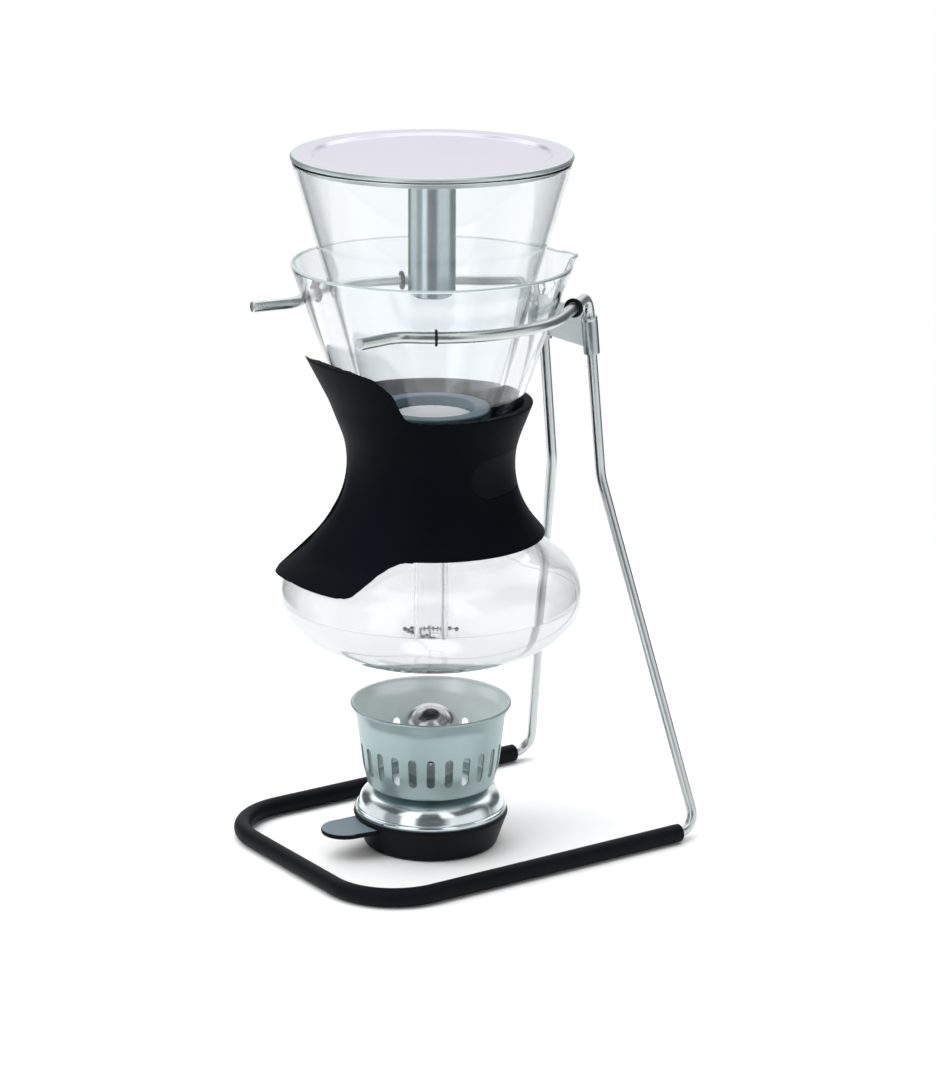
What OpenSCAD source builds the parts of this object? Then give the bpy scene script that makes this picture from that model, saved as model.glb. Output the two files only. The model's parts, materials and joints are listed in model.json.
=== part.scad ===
// Siphon (vacuum) coffee brewer on a bent-wire stand, with an alcohol burner under it.
// Frame: origin on the table under the two bowls' common axis, +Z up. The fork of the
// stand opens towards -X, its two legs stand at +X, and it is symmetric about y = 0.

/* [Stand] */
// Diameter of the lower stand wire
wire_d = 5; // [4.5:0.1:5.4]
// Outside diameter of the sleeve on the base
sleeve_d = 9; // [8:0.5:10]
// Distance between the two side bars of the base, centre to centre
base_w = 144; // [140:1:150]
// How far the base's front bar lies in front of the axis
base_front = 80.8; // [78:0.1:86]
// Bend radius of the base's front corners
base_corner_r = 34; // [28:1:40]
// How far the feet of the legs lie behind the axis
base_rear = 112.1; // [108:0.1:118]
// Bend radius of the wire where a leg meets its side bar
foot_bend_r = 9; // [7:0.5:12]
// Height of the bend halfway up each leg
leg_bend_z = 179; // [170:1:186]

/* [Fork] */
// Diameter of each arm
arm_d = 5.5; // [5:0.1:5.6]
// Height of the arms' centre line
fork_z = 271.2; // [270:0.1:272]
// Radius of the curve that the arms make around the lower bowl
fork_r = 65.3; // [65.3:0.1:67]
// Where each arm's curve ends towards its tip, from +X
fork_front_angle = 132; // [128:1:136]
// How far each tip lies in front of the axis
tip_x = 72; // [68:1:76]
// How much each tip turns outwards
tip_splay = 8.5; // [5:0.5:12]

/* [Upper bowl] */
// Height of the upper bowl's rim
bowl_rim_z = 343.6; // [342:0.1:345]
// Radius of the upper bowl's rim
bowl_rim_r = 67.2; // [66.5:0.1:67.3]
// Radius of the stem below the bowl
stem_r = 8.35; // [8:0.05:8.5]
// Height of the stem's open end
stem_end_z = 106; // [104:0.5:110]

/* [Lower bowl] */
// Height of the lower bowl's rim
flask_rim_z = 293.7; // [291:0.1:295]
// Height of the flat underside
flask_floor_z = 98.4; // [97.5:0.1:99]
// Largest radius
flask_r = 74.1; // [73.5:0.1:75]
// Wall thickness of the glass
glass_wall = 2; // [1.8:0.1:2.2]

/* [Burner] */
// Number of air slots round the windshield
slot_count = 24; // [18:1:28]
// Width of each air slot
slot_w = 4.1; // [2.8:0.1:4.6]
// Which way the foot's lifting tab points, from +X
tab_angle = 175; // [150:1:210]
// Radius of the snuffer cap
cap_r = 15; // [14.6:0.1:15.2]

/* [Filter] */
// Radius of the filter ring
filter_r = 29.3; // [28.5:0.1:29.4]
// Distance between beads
bead_pitch = 3.8; // [3.4:0.1:4]

/* [Hidden] */
$fn = 48;
arc_step = 10;                  // degrees between the points of a rounded outline

// Bent bars
bend_overlap = 0.3;             // how far a bend reaches over the straight on each side of it
bend_proud = 0.02;              // how much larger its radius is, once or twice over

// Stand
wire_r = wire_d / 2;
sleeve_r = sleeve_d / 2;
sleeve_bore_r = wire_r + 0.12;
base_y = base_w / 2;
arm_r = arm_d / 2;
joint_p = [80.04, 20, 251.4];   // where a leg and its arm meet inside a socket
knee_p = [87.05, 20.7, leg_bend_z];
leg_dir = unit(joint_p - knee_p);
elbow_p = joint_p + leg_dir * (fork_z - joint_p.z) / leg_dir.z;
socket_r = 4;
socket_below = 9.2;
socket_above = 9.8;
plate_t = 1.5;
plate_h = 19;
// The arm leaves its curve where a line from the elbow touches it
elbow_angle = atan2(elbow_p.y, elbow_p.x);
fork_rear_angle = elbow_angle + acos(fork_r / norm([elbow_p.x, elbow_p.y]));
tip_bend_r = 14;
// Cushion rings
ring_bar_r = 0.98;
ring_r = arm_r + ring_bar_r + 0.04;
ring_angles = [[-122, -34], [122, 70]];   // right arm, left arm

// Glass outlines, as [radius, height, corner radius]
cone_slope = 0.362;             // of the lower bowl's flared top
bowl_slope = 0.288;             // of the upper bowl
function flask_cone_r(z) = 60 + cone_slope * (z - 271.2);
function bowl_cone_r(z) = bowl_rim_r - bowl_slope * (bowl_rim_z - z);
belly_z = 128.2;                 // height of the lower bowl's widest ring
belly_in_r = 24;                // radius of the flat underside
function belly(inset) = [for (t = [90:-arc_step / 2:0])
    [belly_in_r + (flask_r - belly_in_r - inset) * cos(t),
     belly_z - (belly_z - flask_floor_z - inset) * sin(t)]];
flask_neck = [[flask_r, belly_z], [flask_r + 0.1, belly_z + 12.5, 27], [52.6, 156.6, 30],
              [29.24, 186.25, 52.5], [flask_cone_r(flask_rim_z), flask_rim_z]];
flask_neck_in = [[flask_r - glass_wall, belly_z], [flask_r - glass_wall + 0.1, belly_z + 11.4, 25],
                 [51.3, 154.9, 28], [26.8, 186.4, 54.5],
                 [flask_cone_r(flask_rim_z) - glass_wall - 0.1, flask_rim_z]];
function floor_z(r) = r < belly_in_r ? flask_floor_z + glass_wall
    : belly_z - (belly_z - flask_floor_z - glass_wall)
      * sqrt(1 - pow((r - belly_in_r) / (flask_r - belly_in_r - glass_wall), 2));
spout_angle = -17;

// Neck grip
grip_gap = 0.2;
grip_out = [[78.2, 132], [76.2, 141.2, 5], [60.8, 153.6, 30], [34.07, 186, 46.2],
            [50, 227.2, 25], [65.9, 258.2]];
grip_lobe_in = [60.6, 258.2];
// Its upper and lower edges seen from the side, as [x, z, corner radius]
grip_top = [[95, 225.9], [-36.6, 225.9, 8], [-45.5, 242.2, 12], [-55, 252.5, 8], [-95, 252.9]];
grip_near_low = [[-95, 142.6], [-68.2, 142.6, 10], [-42.9, 159.2, 18], [95, 159.2]];
grip_far_low = [[-95, 143], [-75.3, 143, 20], [-56, 136, 5], [-47, 159.2, 8], [95, 159.2]];
strap_angle = -65;
strap_z = 194.2;
strap_h = 20;
strap_half = 21;

// Burner
foot_cavity = [[0, 3.2], [31.4, 3.2], [36.6, 16.4], [36.9, 17.1], [36.9, 20], [0, 20]];
tank_wall = 0.7;
cap_z = 70.8 - cap_r;           // height of the cap's dome centre
cap_wall = 1;
cap_seat_z = 45.1;
wick_r = 5;
slot_turn = 11.2;               // where the first air slot lies, from +X

// Bead chain
bead_r = 1.2;
chain_lift = bead_r + 0.1;      // a bead's centre above the glass it lies on
chain_turn_r = 31;              // radius of the loop that the chain lies in
chain_turn_angle = 81;
chain_in_beads = 6;             // beads between the hook and the loop
chain_beads = 14;
hook_angle = 60;

function unit(v) = v / norm(v);
function short_turn(d) = d > 180 ? d - 360 : d < -180 ? d + 360 : d;
function corner(a, b, c, r) =
    let (p = unit(a - b), q = unit(c - b), half = acos(p * q) / 2,
         centre = b + unit(p + q) * r / sin(half),
         start = b + p * r / tan(half) - centre, stop = b + q * r / tan(half) - centre,
         from = atan2(start.y, start.x), turn = short_turn(atan2(stop.y, stop.x) - from),
         steps = max(2, ceil(abs(turn) / arc_step)))
    [for (i = [0:steps]) centre + r * [cos(from + turn * i / steps), sin(from + turn * i / steps)]];
function flat_point(p) = [p.x, p.y];
// An outline through points [x, y] and rounded corners [x, y, radius]
function rounded(pts) = [for (i = [0:len(pts) - 1])
    each len(pts[i]) < 3 ? [flat_point(pts[i])]
        : corner(flat_point(pts[i - 1]), flat_point(pts[i]), flat_point(pts[i + 1]), pts[i][2])];
function widened(pts, by) = [for (p = pts) [p.x + by, p.y]];
function backwards(pts) = [for (i = [len(pts) - 1:-1:0]) pts[i]];
function between(pts, low, high) = [for (p = pts) if (p.y >= low && p.y <= high) p];

module revolve(pts) { rotate_extrude() polygon(pts); }
module hollow(outside, inside) { revolve(concat(outside, backwards(inside))); }

module tube_section(r, bore) {
    difference() {
        circle(r);
        if (bore > 0) circle(bore);
    }
}

module straight(a, b, r, bore = 0) {
    run = b - a;
    translate(a) rotate([0, acos(run.z / norm(run)), atan2(run.y, run.x)])
        linear_extrude(norm(run)) tube_section(r, bore);
}

function turn_at(a, b, c) = acos(unit(b - a) * unit(c - b));

module bend(a, b, c, bend_r, r, bore, extra) {
    p = unit(b - a);
    q = unit(c - b);
    turn = turn_at(a, b, c);
    inward = unit(q - (q * p) * p);
    axis = cross(p, inward);
    centre = b - p * bend_r * tan(turn / 2) + inward * bend_r;
    extra_angle = extra / bend_r * 180 / PI;
    multmatrix([[-inward.x, p.x, axis.x, centre.x], [-inward.y, p.y, axis.y, centre.y],
                [-inward.z, p.z, axis.z, centre.z]])
        rotate(-extra_angle) rotate_extrude(angle = turn + 2 * extra_angle)
            translate([bend_r, 0]) tube_section(r, bore);
}

// A bent bar or tube through corner points, with one bend radius for each inner corner.
// A bar's bends are a hair thicker than its straights and reach a little way over them.
module bent(pts, bends, r, bore = 0) {
    last = len(pts) - 1;
    solid_bar = bore == 0;
    reach = [for (i = [0:last]) i == 0 || i == last ? 0
        : bends[i - 1] * tan(turn_at(pts[i - 1], pts[i], pts[i + 1]) / 2)];
    for (i = [0:last - 1]) {
        run = unit(pts[i + 1] - pts[i]);
        a = pts[i] + run * reach[i];
        b = pts[i + 1] - run * reach[i + 1];
        if ((b - a) * run > 0.02) straight(a, b, r, bore);
    }
    for (i = [1:last - 1]) {
        proud = solid_bar ? bend_proud * (1 + i % 2) : 0;
        bend(pts[i - 1], pts[i], pts[i + 1], bends[i - 1], r + proud, bore,
             solid_bar ? bend_overlap : 0);
    }
}

function flip_y(p) = [p.x, -p.y, p.z];

module base_frame() {
    half = [joint_p - leg_dir * 0.2, knee_p, [base_rear, base_y, sleeve_r],
            [-base_front, base_y, sleeve_r]];
    other = [for (p = backwards(half)) flip_y(p)];
    bends = [30, foot_bend_r, base_corner_r, base_corner_r, foot_bend_r, 30];
    color("silver") bent(concat(half, other), bends, wire_r);
}

module base_sleeve() {
    sleeve_end = base_rear - foot_bend_r * 1.2;
    corners = [[sleeve_end, base_y, sleeve_r], [-base_front, base_y, sleeve_r],
               [-base_front, -base_y, sleeve_r], [sleeve_end, -base_y, sleeve_r]];
    color([0.06, 0.07, 0.09]) bent(corners, [base_corner_r, base_corner_r], sleeve_r, sleeve_bore_r);
}

module arm_wire() {
    mid = (fork_front_angle + fork_rear_angle) / 2;
    crown = fork_r / cos((fork_front_angle - fork_rear_angle) / 2);
    curve_end = fork_r * [cos(fork_front_angle), sin(fork_front_angle)];
    forward = [-sin(fork_front_angle), cos(fork_front_angle)];
    outward = [-cos(tip_splay), sin(tip_splay)];
    swing = acos(forward * outward);
    neck = curve_end + forward * tip_bend_r * tan(swing / 2);
    tip = neck + outward * (tip_x + neck.x) / cos(tip_splay);
    pts = [[tip.x, tip.y, fork_z], [neck.x, neck.y, fork_z],
           [crown * cos(mid), crown * sin(mid), fork_z], elbow_p, joint_p + leg_dir * 0.2];
    bent(pts, [tip_bend_r, fork_r, 9.5], arm_r);
}

module left_arm() { color("silver") arm_wire(); }
module right_arm() { color("silver") mirror([0, 1, 0]) arm_wire(); }

module along_leg() {
    translate(joint_p) rotate([0, acos(leg_dir.z), atan2(leg_dir.y, leg_dir.x)]) children();
}

module socket_tube() {
    along_leg() difference() {
        translate([0, 0, -socket_below]) cylinder(r = socket_r, h = socket_below + socket_above);
        cylinder(r = arm_r + 0.05, h = socket_above + 1);
        translate([0, 0, -socket_below - 1]) cylinder(r = sleeve_bore_r, h = socket_below + 1.1);
    }
}

module left_socket() { color("silver") socket_tube(); }
module right_socket() { color("silver") mirror([0, 1, 0]) socket_tube(); }

module bracket_plate() {
    lean = -atan2(knee_p.x - joint_p.x, joint_p.z - knee_p.z);
    color("lightgray") difference() {
        translate([joint_p.x, 0, joint_p.z]) rotate([0, lean, 0])
            translate([-plate_t / 2, -joint_p.y, -6.5]) cube([plate_t, 2 * joint_p.y, plate_h]);
        for (side = [0, 1]) mirror([0, side, 0]) along_leg()
            translate([0, 0, -20]) cylinder(r = socket_r + 0.02, h = 45);
    }
}

module cushion_rings() {
    color([0.08, 0.08, 0.08]) for (arm = ring_angles, angle = arm) {
        past = abs(angle) < fork_rear_angle;
        heading = past ? fork_rear_angle * sign(angle) : angle;
        out = past ? fork_r / cos(fork_rear_angle - abs(angle)) : fork_r;
        translate([out * cos(angle), out * sin(angle), fork_z]) rotate([0, 0, heading])
            rotate([90, 0, 0]) rotate_extrude() translate([ring_r, 0]) circle(ring_bar_r);
    }
}

function flask_outside() = concat([[0, flask_floor_z]], belly(0), rounded(flask_neck));
function flask_inside() = concat([[0, flask_floor_z + glass_wall]], belly(glass_wall),
                                 rounded(flask_neck_in));

module spout(r_low, r_high, base_z) {
    rotate([0, 0, spout_angle]) translate([flask_cone_r(base_z) - 2.5, 0, base_z]) rotate([0, 20, 0])
        cylinder(r1 = r_low, r2 = r_high, h = 30);
}

module lower_bowl() {
    color([0.85, 0.92, 0.92, 0.35]) difference() {
        union() {
            revolve(concat(flask_outside(), [[0, flask_rim_z]]));
            spout(1, 8.2, 271.2);
        }
        revolve(concat(flask_inside(), [[0, flask_rim_z]]));
        spout(0.2, 7.2, 275.2);
        translate([0, 0, flask_rim_z]) cylinder(r = 90, h = 20);
    }
}

module strap_outline(grow) {
    y_end = strap_half + grow;
    h = strap_h / 2 + grow;
    rotate([0, 0, strap_angle]) translate([25, 0, strap_z]) {
        translate([0, -strap_half + strap_h / 2, -h]) cube([30, strap_half - strap_h / 2 + y_end, 2 * h]);
        translate([0, -strap_half + strap_h / 2, 0]) rotate([0, 90, 0]) cylinder(r = h, h = 30);
    }
}

// One half of the grip's side view
module side_cut(low_edge) {
    rotate([90, 0, 0]) linear_extrude(95) polygon(concat(rounded(grip_top), rounded(low_edge)));
}

module neck_grip() {
    outside = rounded(grip_out);
    snug = between(rounded(flask_neck), 132.5, 227.2);
    color([0.05, 0.06, 0.08]) difference() {
        intersection() {
            hollow(concat(widened(snug, grip_gap), [grip_lobe_in]), outside);
            union() {
                side_cut(grip_near_low);
                translate([0, 95, 0]) side_cut(grip_far_low);
            }
        }
        intersection() {
            hollow(widened(outside, 1), widened(outside, -2.5));
            strap_outline(0.2);
        }
    }
}

module grip_strap() {
    outside = rounded(grip_out);
    color([0.1, 0.11, 0.13]) intersection() {
        hollow(widened(outside, -0.35), widened(outside, -2.3));
        strap_outline(0);
    }
}

module upper_bowl() {
    wall = glass_wall + 0.08;
    outside = [[bowl_rim_r, bowl_rim_z], [bowl_cone_r(213.7), 213.7, 10], [stem_r, 210.7, 5],
               [stem_r, stem_end_z]];
    inside = [[bowl_rim_r - wall, bowl_rim_z], [bowl_cone_r(215.9) - wall, 215.9, 8],
              [stem_r - 1.6, 212.9, 6.6], [stem_r - 1.6, stem_end_z]];
    color([0.85, 0.92, 0.92, 0.35]) hollow(rounded(outside), rounded(inside));
}

module bowl_packing() {
    bore = stem_r + 0.05;
    color([0.1, 0.1, 0.1]) revolve([[bore, 195.7], [33.4, 195.7], [33.7, 202.2], [35.1, 210],
                                    [14.2, 210], [bore, 205.2]]);
}

module filter_plate() {
    holes = 18;
    color("silver") difference() {
        translate([0, 0, 216.6]) cylinder(r = 24.5, h = 1);
        for (ring = [9, 16], i = [0:holes - 1]) rotate(i * 360 / holes)
            translate([ring, 0, 216]) cylinder(r = 1, h = 2);
    }
}

module filter_cloth() {
    color("white") revolve([[0, 217.65], [20.6, 217.65], [20.6, 218.4], [19.8, 218.9], [0, 218.9]]);
}

module filter_ring() {
    outside = [[21, 217.65], [25.5, 217.65], [filter_r - 0.4, 222.4, 1], [filter_r - 0.9, 223.2],
               [21.6, 223.2], [21, 222.6]];
    color([0.5, 0.56, 0.6]) revolve(rounded(outside));
}

module filter_spring() {
    color("silver") translate([0, 0, 179.2]) difference() {
        cylinder(r = 4.6, h = 35);
        translate([0, 0, -1]) cylinder(r = 3.8, h = 37);
    }
}

module filter_hook() {
    wire = 0.6;
    under = stem_end_z - 2.2;
    color("silver") rotate(hook_angle)
        bent([[4, 0, 179.2], [stem_r - 2.6, 0, 114], [stem_r - 2.6, 0, under], [stem_r + 1.4, 0, under],
              [stem_r + 1.4, 0, under + 6]], [3, 1, 1], wire);
}

function chain_start() = [(stem_r + 1.4) * cos(hook_angle), (stem_r + 1.4) * sin(hook_angle)];
function on_loop(angle) = chain_turn_r * [cos(angle), sin(angle)];
function bead_flat(k) = k < chain_in_beads
    ? chain_start() + (on_loop(chain_turn_angle) - chain_start()) * (k + 1) / (chain_in_beads + 1)
    : on_loop(chain_turn_angle - (k - chain_in_beads) * bead_pitch / chain_turn_r * 180 / PI);
function bead_at(k) = let (p = bead_flat(k))
    [p.x, p.y, floor_z(norm(p)) + chain_lift + (k == 0 ? 1.6 : 0)];

// The wire between two beads, from just inside one to just inside the other
module link(a, b) {
    inset = unit(b - a) * bead_r / 2;
    straight(a + inset, b - inset, 0.35);
}

module bead_chain() {
    hook_tip = [chain_start().x, chain_start().y, stem_end_z - 3.3];
    color("silver") {
        for (k = [0:chain_beads - 1]) {
            way = bead_at(k + 1) - bead_at(k);
            translate(bead_at(k)) rotate(atan2(way.y, way.x) + 90) sphere(bead_r);
        }
        for (k = [0:chain_beads - 2]) link(bead_at(k), bead_at(k + 1));
        link(hook_tip, bead_at(0));
    }
}

module lid_disc() {
    top = bowl_rim_z + 2.6;
    seat = bowl_rim_z + 0.1;
    color([0.88, 0.87, 0.92]) revolve([[0, top - 1.4], [56.2, top - 1.4], [57.6, top], [67, top],
        [67.6, top - 0.6], [67.6, seat + 0.4], [67.2, seat], [63.4, seat], [63.4, seat - 2.9],
        [62.5, seat - 2.9], [62.5, seat - 0.4], [0, seat - 0.4]]);
}

module lid_tube() {
    low = 278.2;
    high = bowl_rim_z - 0.3;
    color("silver") revolve([[10.7, low], [11.9, low], [11.9, low + 1.2], [11.5, low + 1.4],
                             [11.5, high], [10.7, high]]);
}

module burner_foot() {
    cup = [[0, 0], [33, 0, 1.2], [38.5, 15.4, 1], [37.9, 17.1], [0, 17.1]];
    color([0.05, 0.06, 0.08]) difference() {
        union() {
            revolve(rounded(cup));
            rotate(tab_angle) translate([0, 0, 12]) linear_extrude(2.5) union() {
                translate([48, 0]) circle(12);
                translate([20, -12]) square([28, 24]);
            }
        }
        revolve(foot_cavity);
    }
}

module fuel_reservoir() {
    outside = [[0, 3.3], [31, 3.3, 1.5], [36, 16.8], [37.6, 17.4], [37.6, 19.2], [35, 25.7, 9],
               [24.5, 30.2], [12.2, 30.2]];
    inside = [[0, 3.3 + tank_wall], [30.4, 3.3 + tank_wall, 1], [35.3, 17], [36.9, 18],
              [36.9, 19.1], [34.4, 25.2, 8.3], [24.3, 29.5], [12.2, 29.5]];
    color([0.75, 0.78, 0.78]) hollow(rounded(outside), rounded(inside));
}

module wick_holder() {
    bore = wick_r + 0.1;
    color("silver") revolve([[bore, 25], [12, 25], [12, 30.25], [14.4, 30.25], [14.4, cap_seat_z],
        [12.9, cap_seat_z], [12.9, 49.7], [6.6, 49.7], [6.6, 56.2], [bore, 56.2]]);
}

module wick() {
    color("white") revolve([[0, 5], [wick_r, 5], [wick_r, 59.6], [3.6, 61], [0, 61.4]]);
}

module slot(low, high) {
    r = slot_w / 2;
    translate([20, -r, low + r]) cube([25, slot_w, high - low - slot_w]);
    for (z = [low + r, high - r]) translate([20, 0, z]) rotate([0, 90, 0]) cylinder(r = r, h = 25);
}

module windshield() {
    hole_r = cap_r + 7;
    outside = [[hole_r, 30.6], [31.3, 30.6, 2.2], [34, 41.2, 30], [36.8, 65.7, 14], [39.3, 72]];
    inside = [[hole_r, 31.4], [30.6, 31.4, 1.6], [33.1, 41.3, 30], [35.9, 65.9, 14], [38.4, 72]];
    color([0.63, 0.69, 0.69]) difference() {
        union() {
            hollow(rounded(outside), rounded(inside));
            rotate_extrude() translate([39, 71.9]) circle(0.9);
        }
        for (i = [0:slot_count - 1]) rotate(slot_turn + i * 360 / slot_count) slot(38, 53.3);
    }
}

module snuffer_cap() {
    color([0.8, 0.8, 0.82]) difference() {
        union() {
            translate([0, 0, cap_seat_z + 0.1]) cylinder(r = cap_r, h = cap_z - cap_seat_z - 0.1);
            translate([0, 0, cap_z]) sphere(cap_r);
        }
        translate([0, 0, cap_z]) sphere(cap_r - cap_wall);
        translate([0, 0, 20]) cylinder(r = cap_r - cap_wall, h = cap_z - 20);
        translate([0, 0, 20]) cylinder(r = cap_r + 2, h = cap_seat_z - 19.9);
    }
}

base_frame();
base_sleeve();
left_arm();
right_arm();
left_socket();
right_socket();
bracket_plate();
cushion_rings();
lower_bowl();
neck_grip();
grip_strap();
upper_bowl();
bowl_packing();
filter_plate();
filter_cloth();
filter_ring();
filter_spring();
filter_hook();
bead_chain();
lid_disc();
lid_tube();
burner_foot();
fuel_reservoir();
wick_holder();
wick();
windshield();
snuffer_cap();
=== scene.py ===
"""Siphon coffee brewer: the looks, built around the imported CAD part. Lengths in shapes are in millimetres."""

import json
import math

import bmesh
import bpy
from mathutils import Matrix, Vector


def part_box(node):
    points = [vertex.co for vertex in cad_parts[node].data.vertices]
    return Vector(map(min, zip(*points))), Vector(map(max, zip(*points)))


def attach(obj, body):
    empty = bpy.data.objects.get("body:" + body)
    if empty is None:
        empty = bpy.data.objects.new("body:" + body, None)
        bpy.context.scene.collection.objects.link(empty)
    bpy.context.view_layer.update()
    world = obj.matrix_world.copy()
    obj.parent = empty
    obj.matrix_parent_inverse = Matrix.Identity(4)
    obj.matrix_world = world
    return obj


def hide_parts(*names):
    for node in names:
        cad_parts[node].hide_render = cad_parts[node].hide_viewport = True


MM = 0.001
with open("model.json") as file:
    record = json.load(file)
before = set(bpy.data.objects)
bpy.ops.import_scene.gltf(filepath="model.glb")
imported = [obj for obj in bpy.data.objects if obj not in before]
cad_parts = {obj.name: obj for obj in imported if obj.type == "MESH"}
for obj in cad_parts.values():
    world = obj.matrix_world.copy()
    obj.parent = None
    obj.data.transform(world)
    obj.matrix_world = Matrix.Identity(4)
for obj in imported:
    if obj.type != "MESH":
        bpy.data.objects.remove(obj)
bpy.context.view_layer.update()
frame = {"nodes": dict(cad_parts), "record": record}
scene = bpy.context.scene


# ------------------------ driving dimensions

def top_of(node):
    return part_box(node)[1].z / MM


def bottom_of(node):
    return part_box(node)[0].z / MM


# The stand's wires and bends, and the height and radius of the fork that holds the flask.
WIRE_R, SLEEVE_R, ARM_R = 2.5, 4.5, 2.75
BASE_FRONT, BASE_REAR, BASE_Y = 80.8, 112.1, 72.0
CORNER_R, FOOT_BEND_R, KNEE_BEND_R = 34, 9, 30
FORK_Z, FORK_R = 271.2, 65.3
JOINT, KNEE = Vector((80.04, 20, 251.4)), Vector((87.05, 20.7, 179))
RING_GAP = 0.04

# The two glass bowls.
WALL, THIN = 2.0, 1.0
FLASK_FLOOR_Z, FLASK_RIM_Z, FLASK_R = bottom_of("lower_bowl"), top_of("lower_bowl"), 74.1
BELLY_Z, BELLY_IN = 128.2, 24.0
SPOUT_TURN, SPOUT_LOW_Z, SPOUT_OUT = math.radians(-17), 268, 6.0
BOWL_RIM_Z, BOWL_RIM_R, BOWL_SLOPE = top_of("upper_bowl"), 67.2, 0.288
STEM_R, STEM_WALL, STEM_END_Z = 8.35, 1.6, bottom_of("upper_bowl")

# The grip's tongue.
STRAP_TURN, STRAP_Z, STRAP_H, STRAP_HALF = math.radians(-65), 194.2, 20.0, 21.0

# What hangs from the filter: the spring, the hook under the stem's edge and the beads on the flask's floor.
COILS, COIL_R, COIL_WIRE_R = 13, 4.2, 0.38
HOOK_TURN, HOOK_WIRE_TURN, HOOK_WIRE_R = math.radians(60), math.radians(-36), 0.6
BEADS, BEADS_TO_LOOP, BEAD_R, BEAD_PITCH, CHAIN_WIRE_R = 14, 6, 1.2, 3.8, 0.32
LOOP_R, LOOP_TURN = 31.0, math.radians(81)

# The filter's cloth and its ring, the lid and the burner.
FILTER_LOW_Z, CLOTH_TOP_Z, CLOTH_R, SEAT_RING_R = 217.65, 218.9, 20.7, 29.3
LID_SEAT, LID_TOP, LID_R = BOWL_RIM_Z + 0.1, top_of("lid_disc"), 67.55
TUBE_LOW, TUBE_HIGH, TUBE_R, TUBE_BORE_R = bottom_of("lid_tube"), top_of("lid_tube"), 11.5, 10.7
TAB_R, TAB_X, TAB_ROOT_R, TAB_TURN = 12.0, 48.0, 36.6, math.radians(175)
CAP_R, CAP_WALL, CAP_LOW, CAP_TOP = 15.0, 1.0, bottom_of("snuffer_cap"), top_of("snuffer_cap")
SLOTS_ROUND, FIRST_SLOT, SLOT_WIDTH, SLOT_LOW, SLOT_HIGH = 24, math.radians(11.2), 4.1, 38.0, 53.3

# The camera, which also says which way the studio's background lies.
CAMERA_PLACE = Vector((-0.9534, -1.4231, 0.6488))
HEADING, PITCH, ROLL = math.radians(55.58), math.radians(16.09), math.radians(0.30)
LENS, SENSOR = 121.42, 36


def flask_cone_r(z):
    return 60 + 0.362 * (z - FORK_Z)


def bowl_cone_r(z):
    return BOWL_RIM_R - BOWL_SLOPE * (BOWL_RIM_Z - z)


# ------------------------ outlines and paths

def arc_points(centre, start, stop, step):
    """Points from centre + start to centre + stop, the short way round."""
    first = math.atan2(start.y, start.x)
    turn = math.atan2(stop.y, stop.x) - first
    turn = (turn + math.pi) % (2 * math.pi) - math.pi
    count = max(2, math.ceil(abs(math.degrees(turn)) / step))
    angles = [first + turn * i / count for i in range(count + 1)]
    return [(centre.x + start.length * math.cos(a), centre.y + start.length * math.sin(a)) for a in angles]


def rounded(points, step=5.0):
    """An outline through (r, z) points and (r, z, corner radius) corners."""
    out = []
    for i, p in enumerate(points):
        if len(p) < 3:
            out.append((p[0], p[1]))
            continue
        a, b, c = (Vector(q[:2]) for q in (points[i - 1], p, points[(i + 1) % len(points)]))
        u, w = (a - b).normalized(), (c - b).normalized()
        half = u.angle(w) / 2
        centre = b + (u + w).normalized() * p[2] / math.sin(half)
        reach = p[2] / math.tan(half)
        out += arc_points(centre, b + u * reach - centre, b + w * reach - centre, step)
    return out


def dense(points, gap):
    """The same outline with no side longer than gap."""
    out = [points[0]]
    for a, b in zip(points, points[1:]):
        n = max(1, math.ceil(math.dist(a, b) / gap))
        out += [tuple(x + (y - x) * i / n for x, y in zip(a, b)) for i in range(1, n + 1)]
    return out


def along(points, t):
    """The point a share t of the way along an outline."""
    lengths = [math.dist(a, b) for a, b in zip(points, points[1:])]
    left = t * sum(lengths)
    for a, b, n in zip(points, points[1:], lengths):
        if left <= n:
            return tuple(x + (y - x) * left / n for x, y in zip(a, b))
        left -= n
    return points[-1]


def height_at(points, x):
    """The second value of an outline where its first value is x."""
    for a, b in zip(points, points[1:]):
        if min(a[0], b[0]) <= x <= max(a[0], b[0]) and a[0] != b[0]:
            return a[1] + (b[1] - a[1]) * (x - a[0]) / (b[0] - a[0])
    return points[-1][1] if abs(points[-1][0] - x) < abs(points[0][0] - x) else points[0][1]


def radius_at(points, z):
    return height_at([(b, a) for a, b in points], z)


def swell(x):
    """A smooth rise from 0 to 1 as x goes from 0 to 1."""
    return x * x * (3 - 2 * x) if 0 < x < 1 else (1.0 if x >= 1 else 0.0)


def beside(turn, r, z):
    """The point at radius r and height z, at an angle round the Z axis."""
    return Vector((r * math.cos(turn), r * math.sin(turn), z))


def other_side(p):
    return Vector((p[0], -p[1], p[2]))


def bent_path(points, bends, gap=5.0, step=4.0):
    """A 3D path through corner points, with one bend radius for each inner corner."""
    points = [Vector(p) for p in points]
    out = [points[0]]
    for i in range(1, len(points) - 1):
        a, b, c = points[i - 1 : i + 2]
        p, q = (b - a).normalized(), (c - b).normalized()
        turn, radius = p.angle(q), bends[i - 1]
        inward = (q - p * q.dot(p)).normalized()
        centre = b - p * radius * math.tan(turn / 2) + inward * radius
        count = max(2, math.ceil(math.degrees(turn) / step))
        for k in range(count + 1):
            t = turn * k / count
            out.append(centre + radius * (p * math.sin(t) - inward * math.cos(t)))
    out.append(points[-1])
    return [Vector(p) for p in dense([tuple(p) for p in out], gap)]


# ------------------------ meshes

def smooth(mesh, sharp):
    """Smooth shading, except over edges sharper than the angle given."""
    mesh.shade_smooth()
    mesh.set_sharp_from_angle(angle=math.radians(sharp))


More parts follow.
